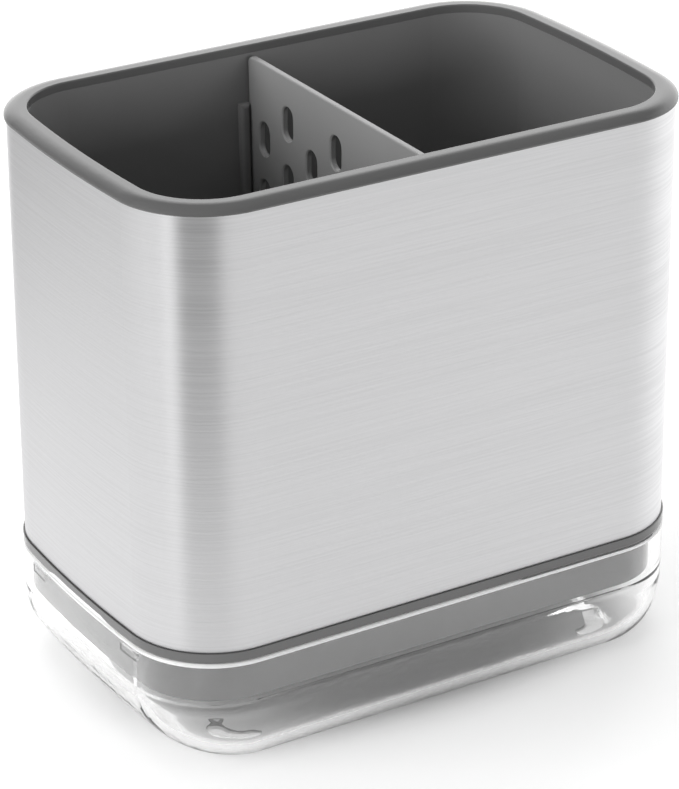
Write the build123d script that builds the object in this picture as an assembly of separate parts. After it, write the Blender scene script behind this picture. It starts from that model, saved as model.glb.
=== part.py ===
from build123d import *
import math
import os

# Kitchen sink caddy: a brushed steel sleeve round a grey plastic bin, closed by a rim ring
# above and a base collar below, standing in a clear drip tray, with a lift-out divider.
# Millimetres, +Z up, X along the long side, Y across, origin at the bottom centre.
# "Inset" is always a distance inwards from the outer face of the steel sleeve.

# Driving dimensions
sleeve_length = 155.0
sleeve_width = 98.35
sleeve_corner = 23.0
sleeve_end_radius = 400.0
sleeve_visible_height = 113.45
sheet = 0.6

# Fits
fit_gap = 0.15
loose_gap = 0.3
overrun = 5.0
middle_share = 0.5
quarter_turn = 90.0

# Drip tray
tray_outset = 0.5
tray_height = 29.9
tray_wall = 2.4
tray_end_curve = 18.0
tray_side_curve = 8.5
tray_floor_corner = 8.0
tray_curve_steps = 9
tray_rim_radius = 0.9
tab_step = 0.3
tab_edge = 0.5
lug_width = 7.2
lug_height = 2.0
lug_spacing = 47.8
lug_drop = 3.0
lug_edge = 0.2
pull_start = 22.0
pull_length = 43.0
pull_depth = 0.3
pull_ramp = 0.6

# Tray feet
foot_proud = 0.6
foot_recess = 0.6
foot_width = 5.0
foot_radius = 8.0
foot_margin = 1.0
foot_angle = 70.0
foot_edge = 0.25

# Base collar
collar_height = 2.9
collar_outset = 0.5
collar_edge = 0.15
collar_low_edge = 0.8
collar_inner_gap = 0.4
shadow_gap = 0.15
sheet_bite_low = 1.0
skirt_inset = 3.0
skirt_wall = 2.0
skirt_depth = 11.9
skirt_edge = 0.8
notch_width = 37.0
notch_ramp = 6.0
notch_rise = 1.2

# Snap fingers that hold the bin down on the collar
clip_spacing = 76.0
clip_width = 8.0
clip_thickness = 1.4
clip_inset = 1.9
clip_hook = 0.8
clip_hook_height = 1.3
clip_side_gap = 0.5

# Inner bin
bin_inset = 3.6
bin_wall = 1.8
bin_floor = 2.0
bin_draft = 1.5
bin_floor_radius = 3.0
flange_thickness = 1.6
flange_gap = 0.4
drain_length = 9.2
drain_width = 4.0
drain_pitch = 14.5
drain_row_pitch = 8.7
drain_end_margin = 15.0
drain_side_margin = 24.0
rib_width = 2.9
rib_depth = 1.8
rib_edge = 1.1
rib_top_drop = 15.1

# Rim ring
rim_height = 2.15
rim_thickness = 2.2
rim_outset = 0.6
rim_inner_inset = 5.27
rim_inner_edge = 0.4
rim_crown_width = 3.6
rim_crown_drop = 2.0
sheet_bite_high = 0.5
rim_skirt_inset = 1.2
rim_skirt_wall = 2.0
rim_skirt_depth = 4.0
bead_height = 0.8
bead_proud = 0.7
bead_drop = 2.4
bead_groove_depth = 0.5

# Divider
divider_offset = -1.3
divider_thickness = 1.8
divider_top_drop = 2.55
divider_wall_gap = 0.25
divider_top_corner = 2.0
divider_low_corner = 4.0
divider_edge = 0.4
hole_width = 5.2
hole_height = 9.1
hole_column_pitch = 11.8
hole_row_pitch = 15.8
hole_top_drop = 12.5
hole_side_margin = 3.5
hole_low_margin = 8.0
hole_edge = 0.35

# Levels
tray_low = foot_proud
tray_top = tray_low + tray_height
collar_low = tray_top
collar_top = collar_low + collar_height
rim_low = collar_top + sleeve_visible_height
rim_top = rim_low + rim_height
bin_top = rim_top - rim_thickness
skirt_low = collar_low - skirt_depth
floor_low = skirt_low
floor_top = floor_low + bin_floor
flange_top = collar_top + flange_thickness
divider_top = rim_top - divider_top_drop
rib_top = rim_top - rib_top_drop
hook_low = flange_top + fit_gap

# Slopes and places that follow from them
draft_slope = math.tan(math.radians(bin_draft))
bin_inner_inset = bin_inset + bin_wall
tray_inner_inset = tray_wall - tray_outset


def arc_places(half_length, half_width, corner, end_radius):
    """Centre of a corner's arc, centre of the end's arc and the angle where the two arcs meet."""
    corner_y = half_width - corner
    end_x = half_length - end_radius
    corner_x = end_x + math.sqrt((end_radius - corner) ** 2 - corner_y ** 2)
    meeting = math.degrees(math.atan2(corner_y, corner_x - end_x))
    return corner_x, corner_y, end_x, meeting


corner_x, corner_y, end_x, meeting = arc_places(
    sleeve_length / 2, sleeve_width / 2, sleeve_corner, sleeve_end_radius)


def plan(half_length, half_width, corner, end_radius):
    """Face with straight long sides, round corners and gently crowned ends."""
    centre_x, centre_y, crown_x, turn = arc_places(half_length, half_width, corner, end_radius)
    rest = quarter_turn - turn
    lines = [
        CenterArc((crown_x, 0), end_radius, -turn, 2 * turn),
        CenterArc((centre_x, centre_y), corner, turn, rest),
        Line((centre_x, half_width), (-centre_x, half_width)),
        CenterArc((-centre_x, centre_y), corner, quarter_turn, rest),
        CenterArc((-crown_x, 0), end_radius, 180 - turn, 2 * turn),
        CenterArc((-centre_x, -centre_y), corner, 180 + turn, rest),
        Line((-centre_x, -half_width), (centre_x, -half_width)),
        CenterArc((centre_x, -centre_y), corner, -quarter_turn, rest),
    ]
    return make_face(Curve() + lines)


def outline(inset, z):
    """Sleeve's plan at height z, a given inset from its outer face."""
    return Pos(0, 0, z) * plan(sleeve_length / 2 - inset, sleeve_width / 2 - inset,
                               sleeve_corner - inset, sleeve_end_radius - inset)


def prism(inset, low, high):
    """Solid column on the outline."""
    return extrude(outline(inset, low), amount=high - low)


def band(outer_inset, inner_inset, low, high):
    """Closed ring between two insets."""
    return prism(outer_inset, low, high) - prism(inner_inset, low - overrun, high + overrun)


def edge_inset(edge):
    """Inset of the middle of an edge that follows the outline."""
    point = edge.position_at(middle_share)
    x, y = abs(point.X), abs(point.Y)
    if x < corner_x:
        return sleeve_width / 2 - y
    if math.degrees(math.atan2(y, x - end_x)) < meeting:
        return sleeve_end_radius - math.hypot(x - end_x, y)
    return sleeve_corner - math.hypot(x - corner_x, y - corner_y)


def around(section):
    """Solid with one upright section, drawn as (distance outwards, height), all round the sleeve."""
    path = outline(0, 0).face().outer_wire()
    forward = path % 0
    start = Plane(path @ 0, x_dir=(forward.Y, -forward.X, 0), z_dir=forward * -1)
    return sweep(start * section, path=path)


def bin_inset_at(inset, z):
    """Inset at height z of a bin face that has the given inset at the bin's top."""
    return inset + (bin_top - z) * draft_slope


def drafted_prism(inset, low, high):
    """Column on the bin's drafted outline."""
    low_face = outline(bin_inset_at(inset, low), low)
    high_face = outline(bin_inset_at(inset, high), high)
    return loft([low_face, high_face], ruled=True)


def curve_inset(radius, height):
    """How far a quarter-round lower edge stands in at a height above its floor."""
    if height >= radius:
        return 0
    return radius - math.sqrt(radius ** 2 - (radius - height) ** 2)


def tray_section(wall, height):
    """Tray's plan at a height above its floor: outside for wall 0, inside for the wall's thickness."""
    end_curve = tray_end_curve - wall
    end_in = curve_inset(end_curve, height)
    side_in = curve_inset(tray_side_curve - wall, height)
    outset = tray_outset - wall
    corner = sleeve_corner + outset
    corner = corner - (corner - tray_floor_corner) * end_in / end_curve
    face = plan(sleeve_length / 2 + outset - end_in, sleeve_width / 2 + outset - side_in, corner,
                sleeve_end_radius + outset - end_in)
    return Pos(0, 0, tray_low + wall + height) * face


def tray_block(wall, top):
    """Block with a round lower edge, wider at the ends than along the sides."""
    end_curve = tray_end_curve - wall
    turns = [quarter_turn * step / tray_curve_steps for step in range(tray_curve_steps + 1)]
    bowl = loft([tray_section(wall, end_curve * (1 - math.cos(math.radians(turn)))) for turn in turns])
    upper = extrude(tray_section(wall, end_curve), amount=top - tray_low - wall - end_curve)
    return bowl + upper


def ramped_cut(length, ramp, depth, thickness):
    """Shallow trapezoid recess, open downwards from z = 0, centred and extruded along Y."""
    half = length / 2
    points = [(-half - ramp, -overrun), (-half, 0), (-half + ramp, depth),
              (half - ramp, depth), (half, 0), (half + ramp, -overrun)]
    face = Plane.XZ * make_face(Polyline(*points, close=True))
    return Pos(0, thickness / 2, 0) * extrude(face, amount=thickness)


def drip_tray():
    """Clear open tray with a round lower edge, lugs and a raised tab on each end, and a pull recess."""
    body = tray_block(0, tray_top) - tray_block(tray_wall, tray_top + overrun)
    body = fillet(body.edges().group_by(Axis.Z)[-1], tray_rim_radius)
    for end in (-1, 1):
        body = body + tray_tab(end)
        for side in (-1, 1):
            body = body + tray_lug(end, side)
            body = body - foot_solid(end, side, fit_gap, tray_low, tray_low + foot_recess)
    recess = Rot(180, 0, 0) * ramped_cut(pull_length, pull_ramp, pull_depth, 2 * (tray_wall + overrun))
    place = Pos(pull_start + pull_length / 2, -sleeve_width / 2 - tray_outset, tray_top)
    return body - place * recess


def tray_tab(end):
    """Raised stretch of an end's rim that fills the notch in the collar above it."""
    rise = notch_rise - fit_gap
    run = notch_ramp / notch_rise
    half = notch_width / 2 - fit_gap * run
    foot = half + tray_rim_radius * run
    points = [(-foot, -tray_rim_radius), (-half + rise * run, rise), (half - rise * run, rise),
              (foot, -tray_rim_radius)]
    face = Plane.YZ * make_face(Polyline(*points, close=True))
    tab = Pos(0, 0, tray_top) * extrude(face, amount=end * sleeve_length)
    wall = band(tab_step - tray_outset, tray_inner_inset - tab_step, tray_top - tray_wall, tray_top + notch_rise)
    tab = tab & wall
    upper = [edge for edge in tab.edges() if edge.center().Z > tray_top - tray_rim_radius / 2]
    return fillet([edge for edge in upper if edge.length > 2 * tray_wall], tab_edge)


def tray_lug(end, side):
    """Small locating lug inside an end wall of the tray, just clear of the collar's skirt."""
    top = tray_top - lug_drop
    ring = band(tray_inner_inset - tray_wall / 2, skirt_inset - loose_gap, top - lug_height, top)
    block = Box(sleeve_length, lug_width, 2 * tray_height, align=(Align.MIN, Align.CENTER, Align.MIN))
    lug = ring & Pos(0, side * lug_spacing / 2, 0) * block
    inner = lug.faces().sort_by(Axis.X)[0]
    lug = chamfer(inner.edges(), lug_edge)
    return lug if end > 0 else mirror(lug, about=Plane.YZ)


def foot_solid(end, side, growth, low, high):
    """Curved pad round a corner of the tray's flat bottom."""
    reach = foot_margin + foot_width / 2 + foot_radius
    x_centre = end * (sleeve_length / 2 + tray_outset - tray_end_curve - reach)
    y_centre = side * (sleeve_width / 2 + tray_outset - tray_side_curve - reach)
    middle = math.degrees(math.atan2(side, end))
    arc = CenterArc((0, 0), foot_radius, middle - foot_angle / 2, foot_angle)
    pad = SlotArc(arc, foot_width + 2 * growth)
    return extrude(Pos(x_centre, y_centre, low) * pad, amount=high - low)


def tray_foot(end, side):
    """Clear silicone pad seated in its recess under the tray."""
    pad = foot_solid(end, side, 0, 0, tray_low + foot_recess)
    return fillet(pad.edges().group_by(Axis.Z)[0], foot_edge)


def clip_frames():
    """Places of the snap fingers, each with +Y pointing out through the sleeve."""
    frames = []
    for turn, half in ((0, sleeve_width / 2), (180, sleeve_width / 2)):
        for side in (-1, 1):
            frames.append(Rot(0, 0, turn) * Pos(side * clip_spacing / 2, half, 0))
    for turn in (90, -90):
        frames.append(Rot(0, 0, turn) * Pos(0, sleeve_length / 2, 0))
    return frames


def snap_finger():
    """Upright finger with a hook turned towards the bin."""
    outer = -clip_inset
    inner = outer - clip_thickness
    tip = inner - clip_hook
    top = hook_low + clip_hook_height
    points = [(outer, collar_low + collar_height / 2), (inner, collar_low + collar_height / 2),
              (inner, hook_low), (tip, hook_low), (inner, top), (outer, top)]
    face = Plane.YZ * make_face(Polyline(*points, close=True))
    return extrude(face, amount=clip_width / 2, both=True)


def clip_window():
    """Opening in the bin's flange that a snap finger passes through."""
    depth = clip_thickness + 2 * loose_gap
    width = clip_width + 2 * clip_side_gap
    height = flange_thickness + 2 * overrun
    window = Box(width, depth, height)
    y_middle = -clip_inset - clip_thickness / 2
    return Pos(0, y_middle, flange_top) * window


def base_collar():
    """Grey ring under the steel, with a skirt that drops into the tray."""
    inner = bin_inset_at(bin_inset, collar_top) - collar_inner_gap
    ring = band(-collar_outset, inner, collar_low, collar_top)
    for level, radius in ((collar_top, collar_edge), (collar_low, collar_low_edge)):
        level_edges = ring.edges().filter_by_position(Axis.Z, level, level)
        ring = fillet([edge for edge in level_edges if edge_inset(edge) < 0], radius)
    skirt = prism(skirt_inset, skirt_low, collar_top)
    skirt = fillet(skirt.edges().group_by(Axis.Z)[0], skirt_edge)
    bore = prism(skirt_inset + skirt_wall, skirt_low - overrun, collar_low)
    hole = prism(inner, collar_low - overrun, collar_top + overrun)
    body = ring + (skirt - bore - hole)
    groove_low = collar_top - sheet_bite_low - fit_gap
    body = body - band(-shadow_gap, sheet + fit_gap, groove_low, collar_top + overrun)
    for end in (-1, 1):
        body = body - collar_notch(end)
    for frame in clip_frames():
        body = body + frame * snap_finger()
    return body


def collar_notch(end):
    """Finger recess in the collar's lower edge on a short side."""
    thickness = 2 * (skirt_inset + collar_outset)
    cut = ramped_cut(notch_width, notch_ramp, notch_rise, thickness)
    return Pos(end * (sleeve_length / 2 + collar_outset), 0, collar_low) * Rot(0, 0, 90) * cut


def steel_sleeve():
    """Brushed steel band, held in a groove at each end."""
    return band(0, sheet, collar_top - sheet_bite_low, rim_low + sheet_bite_high)


def drain_places():
    """Centres of the drain slots, alternate rows shifted by half a pitch."""
    inset = bin_inset_at(bin_inner_inset, floor_top)
    columns = 1 + int((sleeve_length - 2 * (inset + drain_end_margin)) / drain_pitch)
    rows = 1 + int((sleeve_width - 2 * (inset + drain_side_margin)) / drain_row_pitch)
    places = []
    for row in range(rows):
        y = (row - (rows - 1) / 2) * drain_row_pitch
        count = columns if row % 2 == 0 else columns - 1
        for column in range(count):
            places.append(((column - (count - 1) / 2) * drain_pitch, y))
    return places


def inner_bin():
    """Drafted bin with a drained floor, divider guides and a flange that sits on the collar."""
    body = drafted_prism(bin_inset, floor_low, bin_top)
    cavity = drafted_prism(bin_inner_inset, floor_top, bin_top)
    cavity = fillet(cavity.edges().group_by(Axis.Z)[0], bin_floor_radius)
    flange = prism(sheet + flange_gap, collar_top, flange_top)
    body = body + flange - cavity
    for frame in clip_frames():
        body = body - frame * clip_window()
    groove_high = bin_top - bead_drop + loose_gap
    groove_low = bin_top - bead_drop - bead_height - loose_gap
    body = body - band(rim_skirt_inset, bin_inset + bead_groove_depth, groove_low, groove_high)
    for side in (-1, 1):
        for hand in (-1, 1):
            body = body + guide_rib(side, hand)
    slots = [Pos(x, y, floor_low) * SlotOverall(drain_length, drain_width) for x, y in drain_places()]
    cutter = extrude(Sketch() + slots, amount=2 * bin_floor, both=True)
    return body - cutter


def guide_rib(side, hand):
    """Round-edged rib on a long wall that holds one face of the divider."""
    def wall_y(z):
        return sleeve_width / 2 - bin_inset_at(bin_inner_inset, z)
    sunk = bin_wall / 2
    points = [(wall_y(floor_low) + sunk, floor_low + bin_floor / 2), (wall_y(rib_top) + sunk, rib_top),
              (wall_y(rib_top) - rib_depth, rib_top),
              (wall_y(floor_low) - rib_depth, floor_low + bin_floor / 2)]
    face = Plane.YZ * make_face(Polyline(*points, close=True))
    rib = extrude(face, amount=rib_width / 2, both=True)
    inner_face = min(rib.faces(), key=lambda one: one.normal_at().Y)
    rib = fillet([edge for edge in inner_face.edges() if edge.center().Z > floor_top], rib_edge)
    offset = divider_thickness / 2 + loose_gap + rib_width / 2
    rib = rib if side > 0 else mirror(rib, about=Plane.XZ)
    return Pos(divider_offset + hand * offset, 0, 0) * rib


def rim_ring():
    """Crowned ring that caps the sleeve and the bin, with a skirt that snaps over the bin."""
    crown = EllipticalCenterArc((rim_outset - rim_crown_width, rim_top - rim_crown_drop),
                                rim_crown_width, rim_crown_drop, start_angle=0, arc_size=quarter_turn)
    groove_top = rim_low + sheet_bite_high + fit_gap
    skirt_in = rim_skirt_inset + rim_skirt_wall
    bead_in = skirt_in + bead_proud
    bead_top = bin_top - bead_drop
    inside = Polyline(
        crown @ 1, (-rim_inner_inset, rim_top), (-rim_inner_inset, bin_top), (-skirt_in, bin_top),
        (-skirt_in, bead_top), (-bead_in, bead_top), (-bead_in, bead_top - bead_height),
        (-skirt_in, bead_top - bead_height), (-skirt_in, bin_top - rim_skirt_depth),
        (-rim_skirt_inset, bin_top - rim_skirt_depth), (-rim_skirt_inset, bin_top),
        (-sheet - fit_gap, bin_top), (-sheet - fit_gap, groove_top), (fit_gap, groove_top),
        (fit_gap, rim_low), (rim_outset, rim_low), crown @ 0)
    section = make_face(crown + inside)
    inner_corner = section.vertices().group_by(Axis.Y)[-1].sort_by(Axis.X)[0]
    return around(fillet(inner_corner, rim_inner_edge))


def divider():
    """Slotted plate that drops between the bin's guide ribs and stands on its floor."""
    low_half, high_half = divider_half_width(floor_top), divider_half_width(divider_top)
    points = [(-low_half, floor_top), (low_half, floor_top), (high_half, divider_top), (-high_half, divider_top)]
    face = make_face(Polyline(*points, close=True))
    face = fillet(face.vertices().group_by(Axis.Y)[0], divider_low_corner)
    face = fillet(face.vertices().group_by(Axis.Y)[-1], divider_top_corner)
    plate = extrude(Plane.YZ * face, amount=divider_thickness / 2, both=True)
    plate = fillet(plate.edges().group_by(Axis.X)[0] + plate.edges().group_by(Axis.X)[-1], divider_edge)
    slot = Rot(0, 0, 90) * SlotOverall(hole_height, hole_width)
    holes = Sketch() + [Pos(y, z) * slot for y, z in hole_places()]
    plate = plate - extrude(Plane.YZ * holes, amount=divider_thickness, both=True)
    rims = [edge for face in (plate.faces().sort_by(Axis.X)[0], plate.faces().sort_by(Axis.X)[-1])
            for wire in face.inner_wires() for edge in wire.edges()]
    plate = chamfer(rims, hole_edge)
    return Pos(divider_offset, 0, 0) * plate


def divider_half_width(z):
    """Half of the divider's width at height z, just clear of the bin's wall."""
    return sleeve_width / 2 - bin_inset_at(bin_inner_inset, z) - divider_wall_gap


def hole_places():
    """Centres of the divider's slots, alternate columns dropped by half a pitch."""
    top = divider_top - hole_top_drop
    outermost = int((divider_half_width(floor_top) - hole_side_margin) / hole_column_pitch)
    places = []
    for column in range(-outermost, outermost + 1):
        high = top if column % 2 == 0 else top - hole_row_pitch / 2
        rows = 1 + int((high - floor_top - hole_low_margin) / hole_row_pitch)
        for row in range(rows):
            places.append((column * hole_column_pitch, high - row * hole_row_pitch))
    return places


os.makedirs("parts", exist_ok=True)
pieces = {
    "drip_tray": drip_tray(),
    "tray_foot_front_left": tray_foot(-1, -1),
    "tray_foot_front_right": tray_foot(1, -1),
    "tray_foot_back_left": tray_foot(-1, 1),
    "tray_foot_back_right": tray_foot(1, 1),
    "base_collar": base_collar(),
    "steel_sleeve": steel_sleeve(),
    "inner_bin": inner_bin(),
    "rim_ring": rim_ring(),
    "divider": divider(),
}
for name, shape in pieces.items():
    export_step(shape, f"parts/{name}.step")
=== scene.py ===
"""Finishes, stage and camera for the kitchen sink caddy, laid out as an add-on."""

import math
import bmesh
import bpy
from bpy.props import FloatProperty, FloatVectorProperty, PointerProperty, StringProperty
from bpy.types import Operator, Panel, PropertyGroup
from mathutils import Matrix, Vector


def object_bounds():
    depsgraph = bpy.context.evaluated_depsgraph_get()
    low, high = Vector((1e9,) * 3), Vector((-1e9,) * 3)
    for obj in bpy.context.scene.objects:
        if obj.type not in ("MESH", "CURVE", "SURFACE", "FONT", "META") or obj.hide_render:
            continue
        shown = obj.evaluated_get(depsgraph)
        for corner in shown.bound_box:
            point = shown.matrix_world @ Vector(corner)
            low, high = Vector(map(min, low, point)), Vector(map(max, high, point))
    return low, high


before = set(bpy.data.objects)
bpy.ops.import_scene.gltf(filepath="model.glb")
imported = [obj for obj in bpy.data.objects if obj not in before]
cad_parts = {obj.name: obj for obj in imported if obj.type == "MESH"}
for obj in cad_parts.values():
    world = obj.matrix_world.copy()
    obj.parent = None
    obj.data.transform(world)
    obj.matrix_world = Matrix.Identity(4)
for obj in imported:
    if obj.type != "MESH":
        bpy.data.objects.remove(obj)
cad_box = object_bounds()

bl_info = {
    "name": "Kitchen Sink Caddy",
    "version": (1, 0, 0),
    "blender": (4, 5, 0),
    "location": "3D View > Sidebar > Caddy",
    "description": "Gives a steel and plastic sink caddy its finishes, and sets its stage",
    "category": "Object",
}

# Picture that the camera is set for, in pixels
PICTURE_WIDTH = 679
PICTURE_HEIGHT = 789

# Values that a noise texture mostly stays between, broadly and closely
NOISE = (0.3, 0.7)
NOISE_CORE = (0.38, 0.62)

# Steel: how its lines vary in tint, blur and height, and how much broader the patches are
LINE_TINT = (0.91, 1.08)
LINE_BLUR = 0.05
LINE_RELIEF = 0.75
LINE_HEIGHT = 0.00006
PATCH_SHARE = 0.35
PATCH_LENGTHS = 4
PATCH_WIDTHS = 12

# Turn from the lines to the stretch of highlights, in full turns
QUARTER_TURN = 0.25

# Grey plastics: clouds of tint and the grain that the mould leaves
CLOUDS_PER_METRE = 35
CLOUD_TINT = (0.97, 1.03)
GRAIN_BLUR = 0.03
GRAIN_RELIEF = 0.15
GRAIN_HEIGHT = 0.00002
POLYPROPYLENE_INDEX = 1.49
ABS_INDEX = 1.54

# Clear tray and feet
WAVES_PER_METRE = 60
WAVE_RELIEF = 0.05
WAVE_HEIGHT = 0.0005
GROUND_BLEND = 0.0002
GROUND_CLEARNESS = 0.3
GROUND_ROUGHNESS = 0.3
SILICONE_CLOUDS_PER_METRE = 400
SILICONE_COLOUR = "#F4F4F4"
SILICONE_INDEX = 1.41
SILICONE_ROUGHNESS = 0.3
HAZE_SHARES = (0.8, 1.2)

# Lamps: place, width and height in metres
LAMPS = {
    "key": ((-1.2, 0.1, 0.5), 1.1, 0.6),
    "top": ((0.1, 0.35, 1.35), 1.1, 1.1),
    "back": ((0.55, 0.95, 0.6), 1.2, 0.5),
    "front": ((0.15, -1.3, 0.3), 0.5, 0.3),
}
LAMP_AIM = (0, 0, 0.08)

# Floor: distances in metres, and reaches in half sizes of the caddy
WHITE_DISTANCE = (0.35, 0.9)
# Painted reflection of the table: distances and reaches at which its dark part, left side, back and
# bright strip start
UNLIT_DISTANCE = (0.18, 0.4)
LEFT_BLEND = 0.02
BEHIND_DISTANCE = (0.18, 0.45)
BEHIND_SHARE = 0.5
MIRROR_REACH = (1.1, 2.0)
# Painted shadow on the floor: its glow fades between these reaches, measured from a point shifted
# to the front right
PAINTED_SHADOW_REACH = (0.6, 1.12)
PAINTED_SHADOW_SHIFT = (0.06, -0.1, 0)
STRIP_BEARINGS = (math.radians(16), math.radians(5))

# World: height and facing between which the backdrop fades
BACKDROP_HEIGHT = (0.75, 0.45)
BACKDROP_FACING = (0.1, 0.9)


def linear(code):
    """Turns an sRGB hex colour such as #8A8A8A into linear RGBA."""
    channels = []
    for place in (1, 3, 5):
        value = int(code[place:place + 2], 16) / 255
        low = value <= 0.04045
        channels.append(value / 12.92 if low else ((value + 0.055) / 1.055) ** 2.4)
    return (*channels, 1.0)


def add_node(tree, kind, values=None, links=None, **settings):
    """Adds a node, sets its properties and socket values, and links its inputs."""
    node = tree.nodes.new(kind)
    for name, value in settings.items():
        setattr(node, name, value)
    for socket, value in (values or {}).items():
        node.inputs[socket].default_value = value
    for socket, source in (links or {}).items():
        tree.links.new(source, node.inputs[socket])
    return node


def spread(tree, value, source, target):
    """Carries a value from one range to another."""
    return add_node(tree, "ShaderNodeMapRange",
                    {"From Min": source[0], "From Max": source[1],
                     "To Min": target[0], "To Max": target[1]},
                    {"Value": value}).outputs["Result"]


def around(middle, margin):
    """Range of one margin to each side of a value."""
    return middle - margin, middle + margin


def step_between(tree, value, low, high):
    """Smooth rise from 0 at the low value to 1 at the high one."""
    return add_node(tree, "ShaderNodeMapRange", {"From Min": low, "From Max": high},
                    {"Value": value}, interpolation_type="SMOOTHSTEP").outputs["Result"]


def times(tree, first, second):
    """Product of two values."""
    return add_node(tree, "ShaderNodeMath", operation="MULTIPLY",
                    links={0: first, 1: second}).outputs["Value"]


def new_material(name):
    """Empty node material with its output."""
    material = bpy.data.materials.new(name)
    material.use_nodes = True
    tree = material.node_tree
    tree.nodes.clear()
    return material, tree, tree.nodes.new("ShaderNodeOutputMaterial")


def dress(node, material):
    """Puts one material on every slot of a CAD node."""
    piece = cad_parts[node]
    for slot in piece.material_slots:
        slot.material = material
    if not piece.material_slots:
        piece.data.materials.append(material)


class SteelSettings(PropertyGroup):
    """Brushed band round the body"""
    colour: StringProperty(name="Colour", description="Colour of the steel, sRGB hex",
                           default="#D2D2D3")
    roughness: FloatProperty(name="Roughness", description="Blur of the brushed surface",
                             default=0.40, min=0, max=1, subtype="FACTOR")
    stretch: FloatProperty(name="Stretch", description="How far highlights stretch upright",
                           default=0.85, min=0, max=1, subtype="FACTOR")
    line_spacing: FloatProperty(name="Line spacing", description="Mean gap between brush lines",
                                default=0.0006, unit="LENGTH")
    line_length: FloatProperty(name="Line length", description="Mean length of a brush line",
                               default=0.035, unit="LENGTH")


class PlasticSettings(PropertyGroup):
    """Grey moulded pieces"""
    bin_colour: StringProperty(name="Bin colour", description="sRGB hex", default="#727272")
    trim_colour: StringProperty(name="Trim colour", description="sRGB hex", default="#5A5A5A")
    divider_colour: StringProperty(name="Divider colour", description="sRGB hex",
                                   default="#8A8A8A")
    bin_roughness: FloatProperty(name="Bin roughness", description="Blur of the bin and divider",
                                 default=0.34, min=0, max=1, subtype="FACTOR")
    trim_roughness: FloatProperty(name="Trim roughness", description="Blur of the rim and collar",
                                  default=0.13, min=0, max=1, subtype="FACTOR")
    grain: FloatProperty(name="Grain", description="Pitch of the mould's spark-eroded grain",
                         default=0.00035, unit="LENGTH")


class TraySettings(PropertyGroup):
    """Clear tray and its feet"""
    colour: StringProperty(name="Colour", description="sRGB hex", default="#FAFAFA")
    index: FloatProperty(name="Refractive index", description="Bending of light in the tray",
                         default=1.57, min=1, max=2)
    shade: FloatProperty(name="Shade", description="Light that each face of the tray stops",
                         default=0.45, min=0, max=1, subtype="FACTOR")
    rim_start: FloatProperty(name="Rim start", description="Height from which the edge is ground",
                             default=0.0294, unit="LENGTH")
    feet_haze: FloatProperty(name="Feet haze", description="How milky the silicone feet are",
                             default=0.2, min=0, max=1, subtype="FACTOR")


class StageSettings(PropertyGroup):
    """Floor, lamps and camera"""
    floor_size: FloatProperty(name="Floor size", description="Side of the square floor",
                              default=6.0, unit="LENGTH")
    floor_colour: StringProperty(name="Floor colour", description="sRGB hex", default="#DADADA")
    floor_glow: FloatProperty(name="Floor glow", description="White that the eye sees on the floor",
                              default=0.4, min=0, max=1)
    # Painted shade: share of the floor's glow left under the caddy
    painted_shade_glow: FloatProperty(name="Shade glow", description="Share of the glow under the caddy",
                              default=0.05, min=0, max=1)
    # Painted reflection: strengths at which the table glows only in what steel and plastic reflect
    front_shine: FloatProperty(name="Front shine", description="Brightness of the table in front, "
                               "as steel and plastic reflect it", default=1.35, min=0, max=2)
    left_shine: FloatProperty(name="Left shine", description="The same, left of the caddy",
                              default=1.5, min=0, max=2)
    edge_shine: FloatProperty(name="Edge shine", description="Extra to the left of the unlit part",
                              default=0.7, min=0, max=2)
    dark_corner: FloatVectorProperty(name="Dark corner", description="Where the unlit part of the "
                                     "table starts", size=2, default=(0.0, -0.06), unit="LENGTH")
    dark_sector: FloatVectorProperty(name="Dark sector", description="Bearings, from the front "
                                     "towards the left, between which the table is unlit",
                                     size=2, default=(math.radians(8), math.radians(71)),
                                     subtype="EULER")
    dark_edges: FloatVectorProperty(name="Dark edges", description="How softly each side starts",
                                    size=2, default=(math.radians(22), math.radians(4)),
                                    subtype="EULER")
    backdrop_side: FloatVectorProperty(name="Backdrop side", description="Way to the backdrop",
                                       default=(0.8, 0.6, 0.0))
    backdrop_light: FloatProperty(name="Backdrop light", description="Brightness of the backdrop",
                                  default=1.85, min=0, max=4)
    room_light: FloatProperty(name="Room light", description="Brightness of the unlit room",
                              default=0.2, min=0, max=1)
    key_power: FloatProperty(name="Key power", description="Lamp on the left", default=14.0,
                             unit="POWER")
    top_power: FloatProperty(name="Top power", description="Lamp overhead", default=7.0,
                             unit="POWER")
    back_power: FloatProperty(name="Back power", description="Lamp low behind the caddy",
                              default=7.0, unit="POWER")
    front_power: FloatProperty(name="Front power", description="Lamp in front that fills the bin",
                               default=6.0, unit="POWER")
    world_light: FloatProperty(name="World light", description="Even light from all round",
                               default=0.38, min=0, max=2)
    azimuth: FloatProperty(name="Azimuth", description="Camera angle round the caddy",
                           default=math.radians(-30.995), subtype="ANGLE")
    elevation: FloatProperty(name="Elevation", description="Camera angle above the floor",
                             default=math.radians(23.972), subtype="ANGLE")
    roll: FloatProperty(name="Roll", description="Camera lean", default=math.radians(-0.26),
                        subtype="ANGLE")
    distance: FloatProperty(name="Distance", description="Camera to its target",
                            default=0.87539, unit="LENGTH")
    target: FloatVectorProperty(name="Target", description="Point that the camera faces",
                                default=(0.0, 0.0, 0.09), unit="LENGTH")
    focal_pixels: FloatProperty(name="Focal length in pixels", description="Lens of the photograph",
                                default=3463.9)
    centre_pixels: FloatVectorProperty(name="Optical centre", description="In pixels",
                                       size=2, default=(343.78, 313.95))


class CADDY_OT_steel_sleeve(Operator):
    """Brushes the steel band"""
    bl_idname = "caddy.steel_sleeve"
    bl_label = "Steel sleeve"

    def execute(self, context):
        settings = context.scene.caddy_steel
        dress("steel_sleeve", brushed_stainless(settings))
        return {"FINISHED"}


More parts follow.
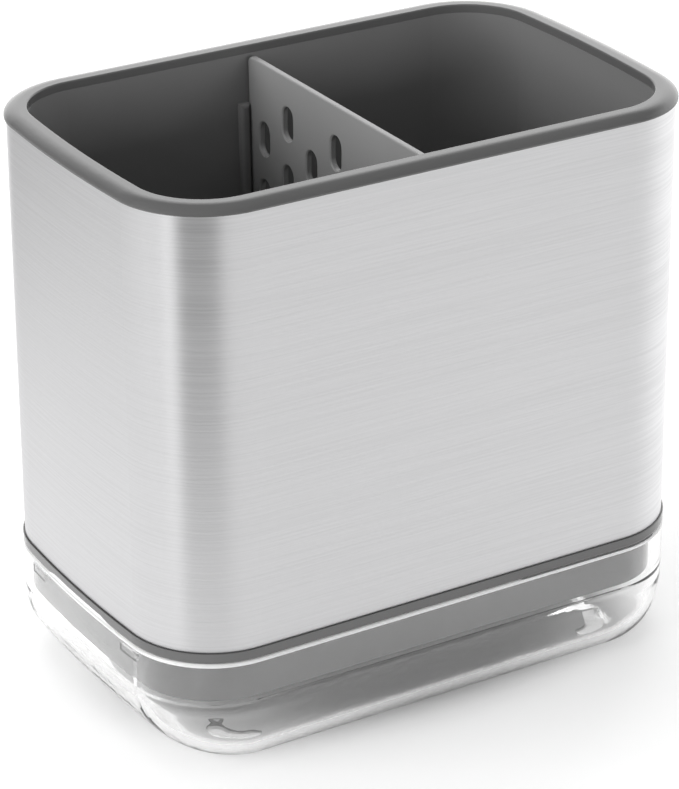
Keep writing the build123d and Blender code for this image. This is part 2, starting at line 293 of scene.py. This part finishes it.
def brushed_stainless(settings):
    """Stainless sheet, belt-brushed along its length: soft upright bands of light crossed by
    fine level lines, with no mirror image. Real lines are about 0.1 mm apart. They are drawn
    coarser here, at the line spacing, so that they show."""
    material, tree, output = new_material("brushed_stainless_steel")
    place = add_node(tree, "ShaderNodeTexCoord")
    along = 1 / settings.line_length
    across = 1 / settings.line_spacing
    fine_place = add_node(tree, "ShaderNodeMapping", {"Scale": (along, along, across)},
                          {"Vector": place.outputs["Object"]})
    fine = add_node(tree, "ShaderNodeTexNoise", {"Scale": 1.0, "Detail": 3.0, "Roughness": 0.6},
                    {"Vector": fine_place.outputs["Vector"]})
    broad_place = add_node(tree, "ShaderNodeMapping",
                           {"Scale": (along / PATCH_LENGTHS, along / PATCH_LENGTHS,
                                      across / PATCH_WIDTHS)},
                           {"Vector": place.outputs["Object"]})
    broad = add_node(tree, "ShaderNodeTexNoise", {"Scale": 1.0, "Detail": 2.0},
                     {"Vector": broad_place.outputs["Vector"]})
    both = add_node(tree, "ShaderNodeMix", {"Factor": PATCH_SHARE},
                    {"A": fine.outputs["Fac"], "B": broad.outputs["Fac"]}, data_type="FLOAT")
    shade = spread(tree, both.outputs["Result"], NOISE_CORE, LINE_TINT)
    tint = add_node(tree, "ShaderNodeVectorMath", {0: linear(settings.colour)[:3]},
                    {"Scale": shade}, operation="SCALE")
    blur = spread(tree, both.outputs["Result"], NOISE, around(settings.roughness, LINE_BLUR))
    relief = add_node(tree, "ShaderNodeBump",
                      {"Strength": LINE_RELIEF, "Distance": LINE_HEIGHT},
                      {"Height": both.outputs["Result"]})
    tangent = add_node(tree, "ShaderNodeTangent", direction_type="RADIAL", axis="Z")
    shader = add_node(tree, "ShaderNodeBsdfPrincipled",
                      {"Metallic": 1.0, "Anisotropic": settings.stretch,
                       "Anisotropic Rotation": QUARTER_TURN},
                      {"Base Color": tint.outputs["Vector"], "Roughness": blur,
                       "Normal": relief.outputs["Normal"], "Tangent": tangent.outputs["Tangent"]})
    tree.links.new(shader.outputs["BSDF"], output.inputs["Surface"])
    return material


class CADDY_OT_grey_plastics(Operator):
    """Finishes the bin, rim, collar and divider"""
    bl_idname = "caddy.grey_plastics"
    bl_label = "Grey plastics"

    def execute(self, context):
        settings = context.scene.caddy_plastic
        bin_finish = satin_plastic("satin_moulded_polypropylene_bin", settings.bin_colour,
                                   settings, settings.bin_roughness, POLYPROPYLENE_INDEX)
        trim_finish = satin_plastic("satin_moulded_abs_trim", settings.trim_colour,
                                    settings, settings.trim_roughness, ABS_INDEX)
        divider_finish = satin_plastic("satin_moulded_abs_divider", settings.divider_colour,
                                       settings, settings.bin_roughness, ABS_INDEX)
        dress("inner_bin", bin_finish)
        dress("rim_ring", trim_finish)
        dress("base_collar", trim_finish)
        dress("divider", divider_finish)
        return {"FINISHED"}


def satin_plastic(name, colour, settings, roughness, index):
    """Mid grey moulded plastic: even satin sheen broken up by the fine grain of a spark-eroded
    mould. Real grain is about 0.1 mm wide and is drawn coarser here, at the grain setting, so
    that it shows."""
    material, tree, output = new_material(name)
    place = add_node(tree, "ShaderNodeTexCoord")
    grain = add_node(tree, "ShaderNodeTexNoise",
                     {"Scale": 1 / settings.grain, "Detail": 2.0, "Roughness": 0.5},
                     {"Vector": place.outputs["Object"]})
    cloud = add_node(tree, "ShaderNodeTexNoise", {"Scale": CLOUDS_PER_METRE, "Detail": 2.0},
                     {"Vector": place.outputs["Object"]})
    shade = spread(tree, cloud.outputs["Fac"], NOISE, CLOUD_TINT)
    tint = add_node(tree, "ShaderNodeVectorMath", {0: linear(colour)[:3]}, {"Scale": shade},
                    operation="SCALE")
    blur = spread(tree, grain.outputs["Fac"], NOISE, around(roughness, GRAIN_BLUR))
    relief = add_node(tree, "ShaderNodeBump",
                      {"Strength": GRAIN_RELIEF, "Distance": GRAIN_HEIGHT},
                      {"Height": grain.outputs["Fac"]})
    shader = add_node(tree, "ShaderNodeBsdfPrincipled", {"IOR": index},
                      {"Base Color": tint.outputs["Vector"], "Roughness": blur,
                       "Normal": relief.outputs["Normal"]})
    tree.links.new(shader.outputs["BSDF"], output.inputs["Surface"])
    return material


class CADDY_OT_drip_tray(Operator):
    """Clears the tray and its feet"""
    bl_idname = "caddy.drip_tray"
    bl_label = "Drip tray and feet"

    def execute(self, context):
        settings = context.scene.caddy_tray
        dress("drip_tray", clear_plastic(settings))
        feet = clear_silicone(settings)
        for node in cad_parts:
            if node.startswith("tray_foot_"):
                dress(node, feet)
        return {"FINISHED"}


def cover(tree, settings):
    """Full cover for the eye, and the light shade of a clear wall for what lies behind it. It
    stands in for the light that a clear wall lets through, which shadow rays would stop."""
    shadow = add_node(tree, "ShaderNodeLightPath").outputs["Is Shadow Ray"]
    return spread(tree, shadow, (0, 1), (1, settings.shade))


def clear_plastic(settings):
    """Moulded clear styrene-acrylonitrile: glassy, with the faint waviness of a moulded wall, and
    a finely ground top edge that shows as a white line under the collar."""
    material, tree, output = new_material("clear_moulded_styrene_acrylonitrile")
    place = add_node(tree, "ShaderNodeTexCoord")
    wave = add_node(tree, "ShaderNodeTexNoise", {"Scale": WAVES_PER_METRE, "Detail": 1.0},
                    {"Vector": place.outputs["Object"]})
    relief = add_node(tree, "ShaderNodeBump",
                      {"Strength": WAVE_RELIEF, "Distance": WAVE_HEIGHT},
                      {"Height": wave.outputs["Fac"]})
    parts = add_node(tree, "ShaderNodeSeparateXYZ", links={"Vector": place.outputs["Object"]})
    ground = step_between(tree, parts.outputs["Z"], settings.rim_start,
                          settings.rim_start + GROUND_BLEND)
    clearness = spread(tree, ground, (0, 1), (1, GROUND_CLEARNESS))
    blur = spread(tree, ground, (0, 1), (0, GROUND_ROUGHNESS))
    shader = add_node(tree, "ShaderNodeBsdfPrincipled",
                      {"Base Color": linear(settings.colour), "IOR": settings.index},
                      {"Normal": relief.outputs["Normal"], "Roughness": blur,
                       "Transmission Weight": clearness, "Alpha": cover(tree, settings)})
    tree.links.new(shader.outputs["BSDF"], output.inputs["Surface"])
    return material


def clear_silicone(settings):
    """Clear silicone rubber: seen through, with a slight milky haze and a soft sheen."""
    material, tree, output = new_material("clear_moulded_silicone_rubber")
    place = add_node(tree, "ShaderNodeTexCoord")
    cloud = add_node(tree, "ShaderNodeTexNoise",
                     {"Scale": SILICONE_CLOUDS_PER_METRE, "Detail": 2.0},
                     {"Vector": place.outputs["Object"]})
    haze = spread(tree, cloud.outputs["Fac"], (0, 1),
                  [settings.feet_haze * share for share in HAZE_SHARES])
    shader = add_node(tree, "ShaderNodeBsdfPrincipled",
                      {"Base Color": linear(SILICONE_COLOUR), "IOR": SILICONE_INDEX,
                       "Roughness": SILICONE_ROUGHNESS}, {"Alpha": haze})
    tree.links.new(shader.outputs["BSDF"], output.inputs["Surface"])
    return material


class CADDY_OT_stage(Operator):
    """Sets the floor, the lamps, the world and the camera"""
    bl_idname = "caddy.stage"
    bl_label = "Stage"

    def execute(self, context):
        settings = context.scene.caddy_stage
        add_floor(settings)
        light_world(settings)
        for name, (place, width, height) in LAMPS.items():
            add_lamp("lamp_" + name, place, width, height, getattr(settings, name + "_power"))
        add_camera(settings)
        context.scene.view_settings.view_transform = "Standard"
        return {"FINISHED"}


def seen_directly(tree):
    """1 for the eye, in reflections and through clear plastic, 0 for light that a matt face
    gathers."""
    path = add_node(tree, "ShaderNodeLightPath")
    total = add_node(tree, "ShaderNodeMath", operation="ADD",
                     links={0: path.outputs["Is Camera Ray"], 1: path.outputs["Is Glossy Ray"]})
    clear = add_node(tree, "ShaderNodeMath", operation="ADD", use_clamp=True,
                     links={0: total.outputs["Value"], 1: path.outputs["Is Transmission Ray"]})
    direct = add_node(tree, "ShaderNodeMath", operation="SUBTRACT", use_clamp=True,
                      links={0: clear.outputs["Value"], 1: path.outputs["Diffuse Depth"]})
    return direct.outputs["Value"]


def painted_reflection_shares(tree, place, settings):
    """Shares of the table's painted dark part and of the painted bright strip along its left side,
    which only reflections see.
    """
    start_x, start_y = settings.dark_corner
    offset = add_node(tree, "ShaderNodeVectorMath", {1: (start_x, start_y, 0)}, {0: place},
                      operation="SUBTRACT")
    parts = add_node(tree, "ShaderNodeSeparateXYZ", links={"Vector": offset.outputs["Vector"]})
    leftwards = add_node(tree, "ShaderNodeMath", {1: -1.0}, {0: parts.outputs["X"]},
                         operation="MULTIPLY")
    frontwards = add_node(tree, "ShaderNodeMath", {1: -1.0}, {0: parts.outputs["Y"]},
                          operation="MULTIPLY")
    bearing = add_node(tree, "ShaderNodeMath", operation="ARCTAN2",
                       links={0: leftwards.outputs["Value"], 1: frontwards.outputs["Value"]})
    start, end = settings.dark_sector
    enter = step_between(tree, bearing.outputs["Value"], start, start + settings.dark_edges[0])
    leave = step_between(tree, bearing.outputs["Value"], end, end - settings.dark_edges[1])
    past = step_between(tree, bearing.outputs["Value"], end - settings.dark_edges[1], end)
    strip = step_between(tree, bearing.outputs["Value"],
                         *[end + extra for extra in STRIP_BEARINGS])
    return times(tree, enter, leave), times(tree, past, strip)


def add_floor(settings):
    """Pale table top that runs out to plain white and keeps the caddy's shadow. Reflections see a
    painted glow on it that fades towards the unlit side of the room. For the eye its glow fades
    under the caddy and just in front of it, where the shadow falls: a painted shadow over the one
    that the lamps cast."""
    form = bmesh.new()
    bmesh.ops.create_grid(form, x_segments=1, y_segments=1, size=settings.floor_size / 2)
    mesh = bpy.data.meshes.new("floor")
    form.to_mesh(mesh)
    form.free()
    floor = bpy.data.objects.new("floor", mesh)
    bpy.context.scene.collection.objects.link(floor)
    material, tree, output = new_material("pale_painted_table")
    place = add_node(tree, "ShaderNodeTexCoord").outputs["Object"]
    half = (Vector(cad_box[1]) - Vector(cad_box[0])) / 2
    footprint = add_node(tree, "ShaderNodeVectorMath", {1: (1 / half.x, 1 / half.y, 0)},
                         {0: place}, operation="MULTIPLY")
    reach = add_node(tree, "ShaderNodeVectorMath", links={0: footprint.outputs["Vector"]},
                     operation="LENGTH").outputs["Value"]
    # Painted shadow: the glow that the eye sees fades under the caddy and towards its front right
    painted_shadow_place = add_node(tree, "ShaderNodeVectorMath", {1: PAINTED_SHADOW_SHIFT},
                            {0: footprint.outputs["Vector"]}, operation="SUBTRACT")
    painted_shadow_reach = add_node(tree, "ShaderNodeVectorMath", links={0: painted_shadow_place.outputs["Vector"]},
                            operation="LENGTH").outputs["Value"]
    outside_painted_shadow = step_between(tree, painted_shadow_reach, *PAINTED_SHADOW_REACH)
    glow_with_painted_shadow = spread(tree, outside_painted_shadow, (0, 1),
                           (settings.painted_shade_glow * settings.floor_glow, settings.floor_glow))
    distance = add_node(tree, "ShaderNodeVectorMath", links={0: place}, operation="LENGTH")
    away = step_between(tree, distance.outputs["Value"], *UNLIT_DISTANCE)
    # Painted reflection: shares of the dark sector and of the bright strip that reflections see on
    # the table
    painted_dark_share, painted_strip_share = painted_reflection_shares(tree, place, settings)
    unlit = times(tree, away, painted_dark_share)
    parts = add_node(tree, "ShaderNodeSeparateXYZ", links={"Vector": place})
    leftness = step_between(tree, parts.outputs["X"], -half.x, -half.x - LEFT_BLEND)
    clear = add_node(tree, "ShaderNodeMath", operation="MAXIMUM",
                     links={0: step_between(tree, reach, *MIRROR_REACH), 1: leftness})
    behind = step_between(tree, parts.outputs["Y"], *BEHIND_DISTANCE)
    left = add_node(tree, "ShaderNodeMix",
                    {"A": settings.left_shine, "B": settings.left_shine * BEHIND_SHARE},
                    {"Factor": behind}, data_type="FLOAT")
    shine = add_node(tree, "ShaderNodeMix", {"A": settings.front_shine},
                     {"Factor": leftness, "B": left.outputs["Result"]}, data_type="FLOAT")
    strip = add_node(tree, "ShaderNodeMath", {1: settings.edge_shine},
                     {0: times(tree, away, painted_strip_share), 2: shine.outputs["Result"]},
                     operation="MULTIPLY_ADD")
    # Painted reflection: reflections see the table as a glow, bright in front and to the left with
    # a brighter strip, dim in the unlit sector
    painted_reflection = add_node(tree, "ShaderNodeMix", {"B": settings.room_light},
                        {"Factor": unlit, "A": strip.outputs["Value"]}, data_type="FLOAT")
    shown = add_node(tree, "ShaderNodeEmission", links={"Strength": painted_reflection.outputs["Result"]})
    matt = add_node(tree, "ShaderNodeBsdfDiffuse", {"Color": linear(settings.floor_colour)})
    glow = add_node(tree, "ShaderNodeEmission", links={"Strength": glow_with_painted_shadow})
    near = add_node(tree, "ShaderNodeAddShader",
                    links={0: matt.outputs["BSDF"], 1: glow.outputs["Emission"]})
    plain = add_node(tree, "ShaderNodeEmission", {"Strength": 1.0})
    lit = add_node(tree, "ShaderNodeMixShader",
                   links={0: step_between(tree, distance.outputs["Value"], *WHITE_DISTANCE),
                          1: near.outputs["Shader"], 2: plain.outputs["Emission"]})
    glossy = add_node(tree, "ShaderNodeLightPath").outputs["Is Glossy Ray"]
    seen = add_node(tree, "ShaderNodeMixShader",
                    links={0: times(tree, glossy, clear.outputs["Value"]), 1: lit.outputs["Shader"],
                           2: shown.outputs["Emission"]})
    mixed = add_node(tree, "ShaderNodeMixShader",
                     links={0: seen_directly(tree), 1: matt.outputs["BSDF"],
                            2: seen.outputs["Shader"]})
    tree.links.new(mixed.outputs["Shader"], output.inputs["Surface"])
    mesh.materials.append(material)


def light_world(settings):
    """Even soft light. The eye sees plain white. Reflections see a bright backdrop behind the
    caddy to the right, and the unlit room elsewhere."""
    world = bpy.data.worlds.new("studio")
    world.use_nodes = True
    tree = world.node_tree
    tree.nodes.clear()
    direction = add_node(tree, "ShaderNodeTexCoord").outputs["Generated"]
    parts = add_node(tree, "ShaderNodeSeparateXYZ", links={"Vector": direction})
    low = step_between(tree, parts.outputs["Z"], *BACKDROP_HEIGHT)
    facing = add_node(tree, "ShaderNodeVectorMath", {1: settings.backdrop_side}, {0: direction},
                      operation="DOT_PRODUCT").outputs["Value"]
    backdrop = times(tree, low, step_between(tree, facing, *BACKDROP_FACING))
    reflected = spread(tree, backdrop, (0, 1), (settings.room_light, settings.backdrop_light))
    glossy = add_node(tree, "ShaderNodeLightPath").outputs["Is Glossy Ray"]
    strength = add_node(tree, "ShaderNodeMix", {"A": 1.0},
                        {"Factor": glossy, "B": reflected}, data_type="FLOAT")
    seen = add_node(tree, "ShaderNodeBackground", {"Color": (1, 1, 1, 1)},
                    {"Strength": strength.outputs["Result"]})
    cast = add_node(tree, "ShaderNodeBackground",
                    {"Color": (1, 1, 1, 1), "Strength": settings.world_light})
    mixed = add_node(tree, "ShaderNodeMixShader",
                     links={0: seen_directly(tree), 1: cast.outputs["Background"],
                            2: seen.outputs["Background"]})
    output = add_node(tree, "ShaderNodeOutputWorld")
    tree.links.new(mixed.outputs["Shader"], output.inputs["Surface"])
    bpy.context.scene.world = world


def add_lamp(name, place, width, height, power):
    """Soft box turned to the caddy. It lights matt faces only: what shines reflects the floor
    and the world, whose brightness is set for that."""
    data = bpy.data.lights.new(name, "AREA")
    data.shape = "RECTANGLE"
    data.size = width
    data.size_y = height
    data.energy = power
    lamp = bpy.data.objects.new(name, data)
    lamp.location = place
    aim = Vector(LAMP_AIM) - lamp.location
    lamp.rotation_euler = aim.to_track_quat("-Z", "Y").to_euler()
    lamp.visible_glossy = False
    bpy.context.scene.collection.objects.link(lamp)


def add_camera(settings):
    """Camera at the photograph's place, with its lens and framing."""
    turn, lift = settings.azimuth, settings.elevation
    back = Vector((math.sin(turn) * math.cos(lift), -math.cos(turn) * math.cos(lift),
                   math.sin(lift)))
    level = Vector((math.cos(turn), math.sin(turn), 0))
    upright = back.cross(level)
    lean = settings.roll
    right = level * math.cos(lean) + upright * math.sin(lean)
    up = upright * math.cos(lean) - level * math.sin(lean)
    data = bpy.data.cameras.new("camera")
    long_side = max(PICTURE_WIDTH, PICTURE_HEIGHT)
    data.lens = settings.focal_pixels / long_side * data.sensor_width
    data.shift_x = (PICTURE_WIDTH / 2 - settings.centre_pixels[0]) / long_side
    data.shift_y = (settings.centre_pixels[1] - PICTURE_HEIGHT / 2) / long_side
    camera = bpy.data.objects.new("camera", data)
    spot = Vector(settings.target) + back * settings.distance
    camera.matrix_world = Matrix((
        (right.x, up.x, back.x, spot.x),
        (right.y, up.y, back.y, spot.y),
        (right.z, up.z, back.z, spot.z),
        (0, 0, 0, 1)))
    bpy.context.scene.collection.objects.link(camera)
    bpy.context.scene.camera = camera


class CADDY_PT_panel(Panel):
    """Lists the caddy's finishing steps and their settings"""
    bl_label = "Sink caddy"
    bl_idname = "CADDY_PT_panel"
    bl_space_type = "VIEW_3D"
    bl_region_type = "UI"
    bl_category = "Caddy"

    def draw(self, context):
        for operator in OPERATORS:
            self.layout.operator(operator.bl_idname)
        for name in SETTINGS:
            group = getattr(context.scene, name)
            box = self.layout.box()
            for key in group.bl_rna.properties.keys():
                if key not in ("rna_type", "name"):
                    box.prop(group, key)


OPERATORS = (CADDY_OT_steel_sleeve, CADDY_OT_grey_plastics, CADDY_OT_drip_tray, CADDY_OT_stage)
SETTINGS = {"caddy_steel": SteelSettings, "caddy_plastic": PlasticSettings,
            "caddy_tray": TraySettings, "caddy_stage": StageSettings}


def register():
    for group in SETTINGS.values():
        bpy.utils.register_class(group)
    for name, group in SETTINGS.items():
        setattr(bpy.types.Scene, name, PointerProperty(type=group))
    for entry in OPERATORS + (CADDY_PT_panel,):
        bpy.utils.register_class(entry)


def unregister():
    for entry in (CADDY_PT_panel,) + OPERATORS[::-1]:
        bpy.utils.unregister_class(entry)
    for name, group in SETTINGS.items():
        delattr(bpy.types.Scene, name)
        bpy.utils.unregister_class(group)


def main():
    register()
    bpy.ops.caddy.steel_sleeve()
    bpy.ops.caddy.grey_plastics()
    bpy.ops.caddy.drip_tray()
    bpy.ops.caddy.stage()


if __name__ == "__main__":
    main()
